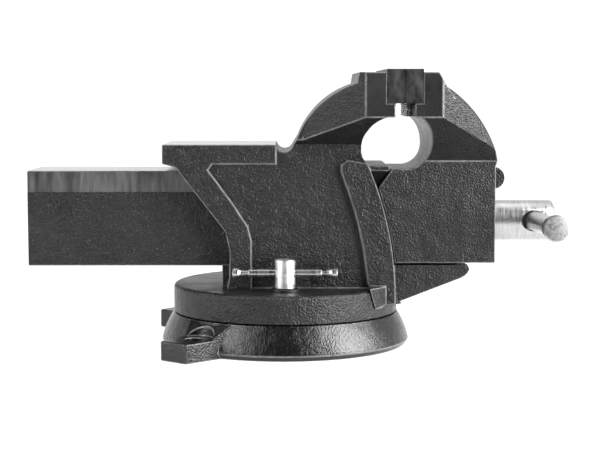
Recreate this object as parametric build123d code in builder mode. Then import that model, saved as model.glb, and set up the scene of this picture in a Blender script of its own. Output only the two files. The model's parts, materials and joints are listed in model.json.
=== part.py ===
from build123d import *
import os

os.makedirs("parts", exist_ok=True)

# Bench vise with a swivel base. Millimetres. The origin is on the swivel axis at the bench,
# +X runs along the slide towards the handle, and +Z is up.

# Driving dimensions
JAW_WIDTH = 150.0
JAW_TOP = 214.2
JAW_SEAT = 191.0
JAW_UNDERSIDE = 180.5
CONTACT_X = 89.8
JAW_GAP = 0.3
PLATE_THICKNESS = 13.5
PLATE_PROUD = 2.4

BASE_RADIUS = 98.4
BASE_TOP_RADIUS = 88.5
BASE_TOP = 26.0
RING_GAP = 0.4
RING_RADIUS = 89.0
RING_TOP = 48.0
RING_ROUND = 3.0

BODY_HALF = 42.5
RIM_HALF = 45.0
RIB_HALF = 46.5
ANVIL_TOP = 159.2
NOSE_HALF = 41.0

SLIDE_HALF = 31.0
SLIDE_BOTTOM = 64.3
SLIDE_TOP = 138.4
SLIDE_END = -200.2
TUNNEL_PLAY = 0.3

BLOCK_HALF = 43.0
BLOCK_FRONT = 162.2
BLOCK_BOTTOM = 67.7

SPINDLE_Z = 97.3
THREAD_RADIUS = 13.0
HEAD_RADIUS = 16.0
HANDLE_X = 197.0
HANDLE_RADIUS = 7.5
HANDLE_LENGTH = 226.0
HANDLE_TILT = -1.8
BEARING_PLAY = 0.08
CROWN_RADIUS = 6.0

LOCK_Y = 58.0
LOCK_BAR_Z = 61.7


def disc(radius, x, thickness, bore=0.0):
    """A washer or collar on the spindle's axis, its near face at x."""
    with BuildPart() as ring:
        with BuildSketch(Plane.YZ.offset(x)):
            with Locations((0, SPINDLE_Z)):
                Circle(radius)
                Circle(bore, mode=Mode.SUBTRACT)
        extrude(amount=thickness)
    return ring.part


def finish(part, name):
    """Names a finished piece and writes its STEP file."""
    part.label = name
    export_step(part, f"parts/{name}.step")


# Base plate: a turned disc with a T-groove for the lock bolts and three bolting lugs
LUG_ANGLES = (230.0, 140.0, 52.0)
LUG_THICKNESS = 15.0
LUG_HOLE_RADIUS = 6.5
LUG_HOLE_AT = 106.0
LUG_END = 128.0
LUG_END_HALF = 13.0
LUG_ROOT_HALF = 20.3
SPOT_FACE_RADIUS = 14.5
RELIEF_DEPTH = 3.0
SPIGOT_RADIUS = 20.0
PIVOT_POCKET_TOP = 12.0
PIVOT_POCKET_RADIUS = 31.0
GROOVE_HALF = 6.0
CHANNEL_HALF = 11.0
CHANNEL_BOTTOM = 8.0
CHANNEL_TOP = 18.0

# Web over the root of a lug, which rises to the top of the cone and flares into it
with BuildPart() as web:
    with BuildSketch(Plane.XZ):
        Polygon((60, 4), (101, 4), (101, LUG_THICKNESS), (88.5, 25), (60, 25), align=None)
    extrude(amount=60, both=True)
    with BuildSketch(Plane.XY):
        Polygon((60, -34), (85, -22), (101, -14.2), (101, 14.2), (85, 22), (60, 34), align=None)
    extrude(amount=60, mode=Mode.INTERSECT)

with BuildPart() as base_plate:
    for angle in LUG_ANGLES:
        with BuildSketch(Plane.XY.rotated((0, 0, angle))):
            Polygon(
                (60, -LUG_ROOT_HALF),
                (LUG_END, -LUG_END_HALF),
                (LUG_END, LUG_END_HALF),
                (60, LUG_ROOT_HALF),
                align=None,
            )
        extrude(amount=LUG_THICKNESS)
    lug_tops = edges().filter_by_position(Axis.Z, LUG_THICKNESS, LUG_THICKNESS)
    fillet(lug_tops.filter_by(GeomType.LINE).filter_by(lambda e: e.length > 20), radius=1.5)
    with BuildSketch(Plane.XZ):
        with BuildLine():
            Polyline((0, 0), (BASE_RADIUS - 3, 0), (BASE_RADIUS, 4))
            ThreePointArc((BASE_RADIUS, 4), (95.2, 14.5), (BASE_TOP_RADIUS + 1.5, 24.5))
            Polyline(
                (BASE_TOP_RADIUS + 1.5, 24.5),
                (BASE_TOP_RADIUS + 1, 25.5),
                (BASE_TOP_RADIUS, BASE_TOP),
                (0, BASE_TOP),
                (0, 0),
            )
        make_face()
    revolve(axis=Axis.Z)
    for angle in LUG_ANGLES:
        with Locations(Plane.XY.rotated((0, 0, angle)).location):
            add(web.part)
    for angle in LUG_ANGLES:
        with Locations(Plane.XY.rotated((0, 0, angle)) * Location((LUG_HOLE_AT, 0, LUG_THICKNESS))):
            Cylinder(
                SPOT_FACE_RADIUS,
                30,
                align=(Align.CENTER, Align.CENTER, Align.MIN),
                mode=Mode.SUBTRACT,
            )
            Cylinder(LUG_HOLE_RADIUS, 60, mode=Mode.SUBTRACT)
    with BuildSketch(Plane.XZ):
        Polygon(
            (0, 0),
            (82, 0),
            (79, RELIEF_DEPTH),
            (PIVOT_POCKET_RADIUS, RELIEF_DEPTH),
            (PIVOT_POCKET_RADIUS, PIVOT_POCKET_TOP),
            (SPIGOT_RADIUS + BEARING_PLAY, PIVOT_POCKET_TOP),
            (SPIGOT_RADIUS + BEARING_PLAY, BASE_TOP),
            (0, BASE_TOP),
            align=None,
        )
        Polygon(
            (LOCK_Y - GROOVE_HALF, BASE_TOP),
            (LOCK_Y - GROOVE_HALF, CHANNEL_TOP),
            (LOCK_Y - CHANNEL_HALF, CHANNEL_TOP),
            (LOCK_Y - CHANNEL_HALF, CHANNEL_BOTTOM),
            (LOCK_Y + CHANNEL_HALF, CHANNEL_BOTTOM),
            (LOCK_Y + CHANNEL_HALF, CHANNEL_TOP),
            (LOCK_Y + GROOVE_HALF, CHANNEL_TOP),
            (LOCK_Y + GROOVE_HALF, BASE_TOP),
            align=None,
        )
    revolve(axis=Axis.Z, mode=Mode.SUBTRACT)
    with Locations((LOCK_Y, 0, 0)):
        Box(24, 22, 20, mode=Mode.SUBTRACT)
finish(base_plate.part, "base_plate")


# Fixed body: ring, core, anvil, jaw arm, nose and tunnel in one casting
TUNNEL_HALF = SLIDE_HALF + TUNNEL_PLAY
TUNNEL_BOTTOM = SLIDE_BOTTOM - TUNNEL_PLAY
TUNNEL_TOP = SLIDE_TOP + TUNNEL_PLAY
FIXED_SEAT_X = CONTACT_X - JAW_GAP / 2 - PLATE_THICKNESS
FIXED_LEDGE_X = 82.4
FIXED_CREASE_Z = 159.4
ARM_ROOT_HALF = 47.6
FLOOR_HALF = 36.0
THROAT_FLOOR = 143.0
FLOOR_EDGE = 80.5
FRONT_CURVE = ((85.1, 36.3), (81.3, 85.4), (63.2, 144.9))
PIVOT_BOLT_RADIUS = 6.0
PIVOT_BOLT_TOP = 50.0
NUT_BOLT_X = 31.0
NUT_BOLT_RADIUS = 4.0
NUT_BOLT_HEAD_RADIUS = 6.5
NUT_BOLT_SEAT = 36.0
LOCK_BOLT_RADIUS = 5.0
JAW_SCREW_Y = 47.5
JAW_SCREW_Z = 203.5
JAW_SCREW_RADIUS = 5.0
JAW_SCREW_HEAD_RADIUS = 8.0
JAW_SCREW_HEAD_LENGTH = 9.0
JAW_SCREW_REACH = 14.0
PIPE_JAW_HALF = 34.0
PIPE_JAW_TOP = JAW_SEAT - 0.2
PIPE_JAW_DEPTH = 6.0
PIPE_JAW_PROUD = 4.0
PIPE_V_DEPTH = 2.6
PIPE_TEETH = 6
PIPE_TOOTH_DEPTH = 0.9
PIPE_SCREW_Y = 22.0
PIPE_SCREW_Z = 186.0
PIPE_SCREW_RADIUS = 2.5
PIPE_SCREW_REACH = 10.0
PIPE_HEAD_THICKNESS = 3.0

RIB_FOOT_RADIUS = 90.5

# Foot of the raised rib, which is carried out over the ring's edge
with BuildPart() as rib_foot:
    with BuildSketch(Plane.XZ):
        Polygon((64.5, 50), (65.4, 47), (69.2, 33.4), (85.1, 36.3), (84.6, 50), align=None)
    extrude(amount=BASE_RADIUS, both=True)
    Cylinder(RIB_FOOT_RADIUS, 200, mode=Mode.INTERSECT)

with BuildPart() as fixed_body:
    # Jaw arm and core: the side outline, narrowed to its outlines from above and from the front
    with BuildSketch(Plane.XZ):
        with BuildLine():
            Polyline((-35, 40), (-35, 95), (-48, 112), (-72, 141), (-72, ANVIL_TOP), (-7, ANVIL_TOP))
            ThreePointArc((-7, ANVIL_TOP), (-0.9, 153.6), (5.5, 157.6))
            Line((5.5, 157.6), (9.8, 164.5))
            ThreePointArc((9.8, 164.5), (27, 190), (54.5, 206.2))
            Polyline(
                (54.5, 206.2),
                (56, JAW_TOP),
                (FIXED_SEAT_X, JAW_TOP),
                (FIXED_SEAT_X, JAW_SEAT),
                (FIXED_LEDGE_X, JAW_SEAT),
                (FIXED_LEDGE_X, JAW_UNDERSIDE),
                (77, JAW_UNDERSIDE),
            )
            ThreePointArc((77, JAW_UNDERSIDE), (63.3, 171), (58.6, 158))
            ThreePointArc((58.6, 158), (59.8, 149.5), (64, THROAT_FLOOR))
            Polyline(
                (64, THROAT_FLOOR),
                (FLOOR_EDGE - 1, THROAT_FLOOR),
                (FLOOR_EDGE, THROAT_FLOOR - 1.5),
                (FLOOR_EDGE, 80),
                (90, 60),
                (90, 36),
                (70, 34),
                (60, 40),
                (-35, 40),
            )
        make_face()
    extrude(amount=JAW_WIDTH / 2, both=True)
    with BuildSketch(Plane.XY):
        with BuildLine():
            arm_flank = Polyline(
                (-80, ARM_ROOT_HALF),
                (13.4, ARM_ROOT_HALF),
                (60.4, JAW_WIDTH / 2),
                (90, JAW_WIDTH / 2),
            )
            mirror(arm_flank, about=Plane.XZ)
            Line((90, JAW_WIDTH / 2), (90, -JAW_WIDTH / 2))
            Line((-80, ARM_ROOT_HALF), (-80, -ARM_ROOT_HALF))
        make_face()
    extrude(amount=230, mode=Mode.INTERSECT)
    with BuildSketch(Plane.YZ):
        Polygon(
            (-BODY_HALF, 30),
            (BODY_HALF, 30),
            (BODY_HALF, FIXED_CREASE_Z),
            (JAW_WIDTH / 2, JAW_UNDERSIDE),
            (JAW_WIDTH / 2, JAW_TOP),
            (-JAW_WIDTH / 2, JAW_TOP),
            (-JAW_WIDTH / 2, JAW_UNDERSIDE),
            (-BODY_HALF, FIXED_CREASE_Z),
            align=None,
        )
    extrude(amount=100, both=True, mode=Mode.INTERSECT)
    crown = fixed_body.edges().filter_by(GeomType.ELLIPSE)
    fillet(crown.filter_by(lambda e: 15 < e.center().X < 50 and e.center().Z > 175), CROWN_RADIUS)

    # Curved front edge of the side walls, under the throat's floor
    with BuildSketch(Plane.XZ):
        with BuildLine():
            ThreePointArc(*FRONT_CURVE)
            Polyline(FRONT_CURVE[-1], (110, 144.9), (110, 36.3), FRONT_CURVE[0])
        make_face()
        with Locations((100, TUNNEL_TOP)):
            Rectangle(100, 20, align=(Align.CENTER, Align.MIN), mode=Mode.SUBTRACT)
    extrude(amount=JAW_WIDTH, both=True, mode=Mode.SUBTRACT)

    # Anvil and the raised rim that runs down to the ring
    with BuildSketch(Plane.XZ):
        Polygon(
            (-94.4, ANVIL_TOP),
            (-7, ANVIL_TOP),
            (-7, 144.3),
            (-56, 144.3),
            (-59.5, 139.7),
            (-40, 113),
            (-29, 96),
            (-26.2, 85),
            (-26.2, 46),
            (-45, 46),
            (-43, 56),
            (-42.7, 76),
            (-46, 92),
            (-67, 119.3),
            (-84.2, 141.6),
            (-94.4, 144.4),
            align=None,
        )
    extrude(amount=RIM_HALF, both=True)

    # Raised C-shaped rib on each side, which runs down over the ring's edge
    with BuildSketch(Plane.XZ):
        with BuildLine():
            Polyline((47.9, 147.4), (43.6, 143.4), (43.2, 139), (45.4, 132.1))
            ThreePointArc((45.4, 132.1), (58.2, 90), (63.7, 52.2))
            Polyline((63.7, 52.2), (65.9, 47), (69.2, 33.4), (85.1, 36.3))
            ThreePointArc(*FRONT_CURVE)
            Line((63.2, 144.9), (47.9, 147.4))
        make_face()
    extrude(amount=RIB_HALF, both=True)
    add(rib_foot.part)

    # Swivel ring, tunnel floor, and the nose that carries the slide
    with BuildSketch(Plane.XZ):
        with BuildLine():
            Polyline(
                (0, RING_TOP),
                (0, BASE_TOP + RING_GAP),
                (RING_RADIUS - 0.5, BASE_TOP + RING_GAP),
                (RING_RADIUS, BASE_TOP + RING_GAP + 0.5),
                (RING_RADIUS, RING_TOP - RING_ROUND),
            )
            RadiusArc(
                (RING_RADIUS, RING_TOP - RING_ROUND),
                (RING_RADIUS - RING_ROUND, RING_TOP),
                -RING_ROUND,
            )
            Line((RING_RADIUS - RING_ROUND, RING_TOP), (0, RING_TOP))
        make_face()
    revolve(axis=Axis.Z)
    with Locations((-49, 0, 40)):
        Box(135, 2 * FLOOR_HALF, 26, align=(Align.MIN, Align.CENTER, Align.MIN))
    with BuildSketch(Plane.XZ):
        with BuildLine():
            Polyline((60, 36), (85.1, 35.8), (135.8, 55.4))
            ThreePointArc((135.8, 55.4), (140.9, 58.9), (143.2, 62.8))
            Polyline((143.2, 62.8), (141.5, 65.8), (60, 65.8), (60, 36))
        make_face()
    extrude(amount=NOSE_HALF, both=True)

    # Spigot that turns in the base
    with Locations((0, 0, PIVOT_POCKET_TOP - RING_GAP)):
        Cylinder(SPIGOT_RADIUS, 20, align=(Align.CENTER, Align.CENTER, Align.MIN))

    # Tunnel for the slide
    with Locations((0, 0, TUNNEL_BOTTOM)):
        Box(
            320,
            2 * TUNNEL_HALF,
            TUNNEL_TOP - TUNNEL_BOTTOM,
            align=(Align.CENTER, Align.CENTER, Align.MIN),
            mode=Mode.SUBTRACT,
        )

    # Bolt holes from below
    with BuildSketch(Plane.XY):
        Circle(PIVOT_BOLT_RADIUS)
    extrude(amount=PIVOT_BOLT_TOP, mode=Mode.SUBTRACT)
    with BuildSketch(Plane.XY.offset(BASE_TOP)):
        with Locations((-NUT_BOLT_X, 0), (NUT_BOLT_X, 0)):
            Circle(NUT_BOLT_HEAD_RADIUS + 0.5)
    extrude(amount=NUT_BOLT_SEAT - BASE_TOP, mode=Mode.SUBTRACT)
    with BuildSketch(Plane.XY.offset(BASE_TOP)):
        with Locations((-NUT_BOLT_X, 0), (NUT_BOLT_X, 0)):
            Circle(NUT_BOLT_RADIUS)
        with Locations((0, -LOCK_Y), (0, LOCK_Y)):
            Circle(LOCK_BOLT_RADIUS + 0.2)
    extrude(amount=TUNNEL_BOTTOM - BASE_TOP, mode=Mode.SUBTRACT)

    # Tapped holes and the pocket in the jaw head
    with BuildSketch(Plane.YZ.offset(FIXED_SEAT_X)):
        with Locations((-JAW_SCREW_Y, JAW_SCREW_Z), (JAW_SCREW_Y, JAW_SCREW_Z)):
            Circle(JAW_SCREW_RADIUS)
    extrude(amount=-JAW_SCREW_REACH, mode=Mode.SUBTRACT)
    with BuildSketch(Plane.YZ.offset(FIXED_LEDGE_X)):
        with Locations((0, (JAW_SEAT + JAW_UNDERSIDE) / 2)):
            Rectangle(2 * PIPE_JAW_HALF, JAW_SEAT - JAW_UNDERSIDE)
    extrude(amount=-PIPE_JAW_DEPTH, mode=Mode.SUBTRACT)
    with BuildSketch(Plane.YZ.offset(FIXED_LEDGE_X - PIPE_JAW_DEPTH)):
        with Locations((-PIPE_SCREW_Y, PIPE_SCREW_Z), (PIPE_SCREW_Y, PIPE_SCREW_Z)):
            Circle(PIPE_SCREW_RADIUS)
    extrude(amount=-PIPE_SCREW_REACH, mode=Mode.SUBTRACT)
finish(fixed_body.part, "fixed_body")


# Moving jaw: arm, block and slide in one casting
MOVING_SEAT_X = CONTACT_X + JAW_GAP / 2 + PLATE_THICKNESS
MOVING_LEDGE_X = 97.2
CREASE_Z = 146.6
CHEEK_GAP = 0.9
CHEEK_CORNER = (82.6, 140.4)
CAVITY_HALF = 20.0
CAVITY_TOP = 126.0
CAVITY_END = 130.0
BAND_BOTTOM = 121.8
BAND_STEP = 0.6
BLOCK_FRONT_HALF = 47.0
BEAD_RADIUS = 8.5
BEAD_FRONT = 169.2
BEAD_Z = 133.4
BEAD_HALF = 40.0
WASHER_SEAT_RADIUS = 21.0
WASHER_SEAT_DEPTH = 4.0
BORE_RADIUS = THREAD_RADIUS + BEARING_PLAY

with BuildPart() as moving_jaw:
    with BuildSketch(Plane.XZ):
        with BuildLine():
            Polyline((60, BLOCK_BOTTOM), (60, 110), CHEEK_CORNER, (96, CHEEK_CORNER[1]))
            ThreePointArc((96, CHEEK_CORNER[1]), (107.3, 147), (111.5, 160))
            ThreePointArc((111.5, 160), (109.6, 171), (102, JAW_UNDERSIDE))
            Polyline(
                (102, JAW_UNDERSIDE),
                (MOVING_LEDGE_X, JAW_UNDERSIDE),
                (MOVING_LEDGE_X, JAW_SEAT),
                (MOVING_SEAT_X, JAW_SEAT),
                (MOVING_SEAT_X, JAW_TOP),
                (115, JAW_TOP),
                (121.4, 203.6),
            )
            ThreePointArc((121.4, 203.6), (145.6, 182.2), (163.5, CREASE_Z))
            Polyline(
                (163.5, CREASE_Z),
                (BLOCK_FRONT, 142),
                (BLOCK_FRONT, BLOCK_BOTTOM),
                (60, BLOCK_BOTTOM),
            )
        make_face()
    extrude(amount=JAW_WIDTH / 2, both=True)
    with BuildSketch(Plane.XY):
        with BuildLine():
            block_flank = Polyline((50, JAW_WIDTH / 2), (117.9, JAW_WIDTH / 2), (170, BLOCK_FRONT_HALF))
            mirror(block_flank, about=Plane.XZ)
            Line((50, JAW_WIDTH / 2), (50, -JAW_WIDTH / 2))
            Line((170, BLOCK_FRONT_HALF), (170, -BLOCK_FRONT_HALF))
        make_face()
    extrude(amount=230, mode=Mode.INTERSECT)
    with BuildSketch(Plane.YZ.offset(110)):
        Polygon(
            (-BLOCK_HALF, 30),
            (BLOCK_HALF, 30),
            (BLOCK_HALF, CREASE_Z),
            (JAW_WIDTH / 2, JAW_UNDERSIDE),
            (JAW_WIDTH / 2, JAW_TOP),
            (-JAW_WIDTH / 2, JAW_TOP),
            (-JAW_WIDTH / 2, JAW_UNDERSIDE),
            (-BLOCK_HALF, CREASE_Z),
            align=None,
        )
    extrude(amount=60, both=True, mode=Mode.INTERSECT)
    crown = moving_jaw.edges().filter_by(GeomType.ELLIPSE)
    fillet(crown.filter_by(lambda e: 125 < e.center().X < 158), CROWN_RADIUS)

    # Curved back edge of the cheeks, which close up to the body's front edge
    with BuildSketch(Plane.XZ):
        with BuildLine():
            cheek_curve = ThreePointArc(*[(x + CHEEK_GAP, z) for x, z in FRONT_CURVE])
            Polyline(cheek_curve @ 1, (40, 144.9), (40, 36.3), cheek_curve @ 0)
        make_face()
    extrude(amount=JAW_WIDTH, both=True, mode=Mode.SUBTRACT)

    # Rounded bead across the front, above the spindle
    with BuildSketch(Plane.XZ):
        with Locations((BEAD_FRONT - BEAD_RADIUS, BEAD_Z)):
            Circle(BEAD_RADIUS)
    extrude(amount=BEAD_HALF, both=True)

    # Slide: an inverted channel whose sides have a machined band along the top
    with Locations((SLIDE_END, 0, SLIDE_BOTTOM)):
        Box(
            335,
            2 * SLIDE_HALF,
            BAND_BOTTOM - SLIDE_BOTTOM,
            align=(Align.MIN, Align.CENTER, Align.MIN),
        )
        Box(
            300,
            2 * (SLIDE_HALF - BAND_STEP),
            SLIDE_TOP - SLIDE_BOTTOM,
            align=(Align.MIN, Align.CENTER, Align.MIN),
        )
    with Locations((CAVITY_END, 0, 50)):
        Box(
            400,
            2 * CAVITY_HALF,
            CAVITY_TOP - 50,
            align=(Align.MAX, Align.CENTER, Align.MIN),
            mode=Mode.SUBTRACT,
        )

    # Bore for the spindle, with a seat for its thrust washer
    with BuildSketch(Plane.YZ.offset(CAVITY_END - 5)):
        with Locations((0, SPINDLE_Z)):
            Circle(BORE_RADIUS)
    extrude(amount=50, mode=Mode.SUBTRACT)
    with BuildSketch(Plane.YZ.offset(BLOCK_FRONT - WASHER_SEAT_DEPTH)):
        with Locations((0, SPINDLE_Z)):
            Circle(WASHER_SEAT_RADIUS)
    extrude(amount=20, mode=Mode.SUBTRACT)

    # Tapped holes and the pocket in the jaw head
    with BuildSketch(Plane.YZ.offset(MOVING_SEAT_X)):
        with Locations((-JAW_SCREW_Y, JAW_SCREW_Z), (JAW_SCREW_Y, JAW_SCREW_Z)):
            Circle(JAW_SCREW_RADIUS)
    extrude(amount=JAW_SCREW_REACH, mode=Mode.SUBTRACT)
    with BuildSketch(Plane.YZ.offset(MOVING_LEDGE_X)):
        with Locations((0, (JAW_SEAT + JAW_UNDERSIDE) / 2)):
            Rectangle(2 * PIPE_JAW_HALF, JAW_SEAT - JAW_UNDERSIDE)
    extrude(amount=PIPE_JAW_DEPTH, mode=Mode.SUBTRACT)
    with BuildSketch(Plane.YZ.offset(MOVING_LEDGE_X + PIPE_JAW_DEPTH)):
        with Locations((-PIPE_SCREW_Y, PIPE_SCREW_Z), (PIPE_SCREW_Y, PIPE_SCREW_Z)):
            Circle(PIPE_SCREW_RADIUS)
    extrude(amount=PIPE_SCREW_REACH, mode=Mode.SUBTRACT)
finish(moving_jaw.part, "moving_jaw")


def jaw_plate(contact_x, towards):
    """A hardened jaw plate with two counterbored screw holes; towards is the side it is bolted to."""
    with BuildPart() as plate:
        with BuildSketch(Plane.YZ.offset(contact_x)):
            with Locations((0, JAW_SEAT)):
                Rectangle(
                    JAW_WIDTH,
                    JAW_TOP + PLATE_PROUD - JAW_SEAT,
                    align=(Align.CENTER, Align.MIN),
                )
        extrude(amount=towards * PLATE_THICKNESS)
        chamfer(plate.edges().filter_by(Axis.Y).group_by(Axis.Z)[-1], length=0.8)
        with BuildSketch(Plane.YZ.offset(contact_x)):
            with Locations((-JAW_SCREW_Y, JAW_SCREW_Z), (JAW_SCREW_Y, JAW_SCREW_Z)):
                Circle(JAW_SCREW_HEAD_RADIUS + 0.3)
        extrude(amount=towards * (JAW_SCREW_HEAD_LENGTH + 1), mode=Mode.SUBTRACT)
        with BuildSketch(Plane.YZ.offset(contact_x)):
            with Locations((-JAW_SCREW_Y, JAW_SCREW_Z), (JAW_SCREW_Y, JAW_SCREW_Z)):
                Circle(JAW_SCREW_RADIUS + 0.3)
        extrude(amount=towards * PLATE_THICKNESS, mode=Mode.SUBTRACT)
    return plate.part


def jaw_screws(contact_x, towards):
    """Two socket head screws, their heads a millimetre under the plate's face."""
    with BuildPart() as screws:
        for y in (-JAW_SCREW_Y, JAW_SCREW_Y):
            with BuildSketch(Plane.YZ.offset(contact_x + towards)):
                with Locations((y, JAW_SCREW_Z)):
                    Circle(JAW_SCREW_HEAD_RADIUS)
            extrude(amount=towards * JAW_SCREW_HEAD_LENGTH)
            with BuildSketch(Plane.YZ.offset(contact_x + towards * 5)):
                with Locations((y, JAW_SCREW_Z)):
                    Circle(JAW_SCREW_RADIUS)
            extrude(amount=towards * (PLATE_THICKNESS + JAW_SCREW_REACH - 6))
            with BuildSketch(Plane.YZ.offset(contact_x + towards)):
                with Locations((y, JAW_SCREW_Z)):
                    RegularPolygon(4.6, 6)
            extrude(amount=towards * 5, mode=Mode.SUBTRACT)
    return screws.part


def pipe_jaw(ledge_x, towards):
    """A pipe jaw with a toothed V across its face; towards is the side it is screwed to."""
    face_x = ledge_x - towards * PIPE_JAW_PROUD
    back_x = ledge_x + towards * PIPE_JAW_DEPTH
    pitch = (PIPE_JAW_TOP - JAW_UNDERSIDE) / PIPE_TEETH
    outline = [(back_x, JAW_UNDERSIDE)]
    for i in range(PIPE_TEETH):
        from_middle = abs((i + 0.5) / PIPE_TEETH - 0.5)
        hollow = towards * PIPE_V_DEPTH * (1 - 2 * from_middle)
        outline.append((face_x + hollow, JAW_UNDERSIDE + i * pitch))
        outline.append((face_x + hollow + towards * PIPE_TOOTH_DEPTH, JAW_UNDERSIDE + (i + 0.5) * pitch))
    outline.append((face_x, PIPE_JAW_TOP))
    outline.append((back_x, PIPE_JAW_TOP))
    with BuildPart() as jaw:
        with BuildSketch(Plane.XZ):
            Polygon(*outline, align=None)
        extrude(amount=PIPE_JAW_HALF - 0.2, both=True)
        with BuildSketch(Plane.YZ.offset(back_x)):
            with Locations((-PIPE_SCREW_Y, PIPE_SCREW_Z), (PIPE_SCREW_Y, PIPE_SCREW_Z)):
                Circle(PIPE_SCREW_RADIUS)
        extrude(amount=-towards * 20, mode=Mode.SUBTRACT)
        with BuildSketch(Plane.YZ.offset(back_x - towards * PIPE_HEAD_THICKNESS)):
            with Locations((-PIPE_SCREW_Y, PIPE_SCREW_Z), (PIPE_SCREW_Y, PIPE_SCREW_Z)):
                Circle(PIPE_SCREW_RADIUS + 1.9)
        extrude(amount=-towards * 20, mode=Mode.SUBTRACT)
    return jaw.part


def pipe_jaw_screws(ledge_x, towards):
    """Two small screws with their heads sunk in the pipe jaw."""
    seat_x = ledge_x + towards * (PIPE_JAW_DEPTH - PIPE_HEAD_THICKNESS)
    with BuildPart() as screws:
        for y in (-PIPE_SCREW_Y, PIPE_SCREW_Y):
            with BuildSketch(Plane.YZ.offset(seat_x)):
                with Locations((y, PIPE_SCREW_Z)):
                    Circle(PIPE_SCREW_RADIUS + 1.7)
            extrude(amount=-towards * PIPE_HEAD_THICKNESS)
            with BuildSketch(Plane.YZ.offset(seat_x)):
                with Locations((y, PIPE_SCREW_Z)):
                    Circle(PIPE_SCREW_RADIUS)
            extrude(amount=towards * (PIPE_SCREW_REACH + 2))
    return screws.part


finish(jaw_plate(CONTACT_X - JAW_GAP / 2, -1), "jaw_plate_fixed")
finish(jaw_plate(CONTACT_X + JAW_GAP / 2, 1), "jaw_plate_moving")
finish(jaw_screws(CONTACT_X - JAW_GAP / 2, -1), "jaw_screws_fixed")
finish(jaw_screws(CONTACT_X + JAW_GAP / 2, 1), "jaw_screws_moving")
finish(pipe_jaw(FIXED_LEDGE_X, -1), "pipe_jaw_fixed")
finish(pipe_jaw(MOVING_LEDGE_X, 1), "pipe_jaw_moving")
finish(pipe_jaw_screws(FIXED_LEDGE_X, -1), "pipe_jaw_screws_fixed")
finish(pipe_jaw_screws(MOVING_LEDGE_X, 1), "pipe_jaw_screws_moving")


# Spindle nut, which stands on the tunnel's floor inside the hollow slide
NUT_HALF_LENGTH = 40.0
NUT_HALF_WIDTH = 18.0
NUT_BOLT_HOLE_DEPTH = 16.0

with BuildPart() as spindle_nut:
    with BuildSketch(Plane.YZ.offset(-NUT_HALF_LENGTH)):
        with BuildLine():
            Polyline(
                (-NUT_HALF_WIDTH, SPINDLE_Z),
                (-NUT_HALF_WIDTH, TUNNEL_BOTTOM),
                (NUT_HALF_WIDTH, TUNNEL_BOTTOM),
                (NUT_HALF_WIDTH, SPINDLE_Z),
            )
            ThreePointArc(
                (NUT_HALF_WIDTH, SPINDLE_Z),
                (0, SPINDLE_Z + NUT_HALF_WIDTH),
                (-NUT_HALF_WIDTH, SPINDLE_Z),
            )
        make_face()
        with Locations((0, SPINDLE_Z)):
            Circle(THREAD_RADIUS + 0.3, mode=Mode.SUBTRACT)
    extrude(amount=2 * NUT_HALF_LENGTH)
    with BuildSketch(Plane.XY.offset(TUNNEL_BOTTOM)):
        with Locations((-NUT_BOLT_X, 0), (NUT_BOLT_X, 0)):
            Circle(NUT_BOLT_RADIUS)
    extrude(amount=NUT_BOLT_HOLE_DEPTH, mode=Mode.SUBTRACT)
finish(spindle_nut.part, "spindle_nut")

with BuildPart() as nut_bolts:
    with BuildSketch(Plane.XY.offset(NUT_BOLT_SEAT - 8)):
        with Locations((-NUT_BOLT_X, 0), (NUT_BOLT_X, 0)):
            Circle(NUT_BOLT_HEAD_RADIUS)
            RegularPolygon(3.6, 6, mode=Mode.SUBTRACT)
    extrude(amount=5)
    with BuildSketch(Plane.XY.offset(NUT_BOLT_SEAT - 3)):
        with Locations((-NUT_BOLT_X, 0), (NUT_BOLT_X, 0)):
            Circle(NUT_BOLT_HEAD_RADIUS)
    extrude(amount=3)
    with BuildSketch(Plane.XY.offset(NUT_BOLT_SEAT)):
        with Locations((-NUT_BOLT_X, 0), (NUT_BOLT_X, 0)):
            Circle(NUT_BOLT_RADIUS)
    extrude(amount=TUNNEL_BOTTOM + NUT_BOLT_HOLE_DEPTH - 1 - NUT_BOLT_SEAT)
finish(nut_bolts.part, "nut_bolts")


# Swivel pivot: one bolt with a large washer that holds the spigot down on the base
PIVOT_WASHER_THICKNESS = 4.0
PIVOT_WASHER_TOP = PIVOT_POCKET_TOP - RING_GAP
PIVOT_HEAD_THICKNESS = 6.5

with BuildPart() as pivot_washer:
    with BuildSketch(Plane.XY.offset(PIVOT_WASHER_TOP - PIVOT_WASHER_THICKNESS)):
        Circle(PIVOT_POCKET_RADIUS - 1)
        Circle(PIVOT_BOLT_RADIUS, mode=Mode.SUBTRACT)
    extrude(amount=PIVOT_WASHER_THICKNESS)
finish(pivot_washer.part, "pivot_washer")

with BuildPart() as pivot_bolt:
    with BuildSketch(Plane.XY.offset(PIVOT_WASHER_TOP - PIVOT_WASHER_THICKNESS)):
        RegularPolygon(9.0, 6, major_radius=False)
    extrude(amount=-PIVOT_HEAD_THICKNESS)
    with BuildSketch(Plane.XY.offset(PIVOT_WASHER_TOP - PIVOT_WASHER_THICKNESS)):
        Circle(PIVOT_BOLT_RADIUS)
    extrude(amount=PIVOT_BOLT_TOP - 2 - PIVOT_WASHER_TOP + PIVOT_WASHER_THICKNESS)
finish(pivot_bolt.part, "pivot_bolt")


# Swivel locks, one on each side of the body
LOCK_NUT_RADIUS = 7.8
LOCK_WASHER_RADIUS = 11.0
LOCK_WASHER_THICKNESS = 2.0
LOCK_NUT_TOP = 72.3
LOCK_BOLT_TOP = 57.0
LOCK_BAR_RADIUS = 3.25
LOCK_NECK_RADIUS = 2.0
LOCK_BAR_HALF = 40.0
LOCK_END_LENGTH = 8.0
LOCK_END_RADIUS = 4.25


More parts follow.
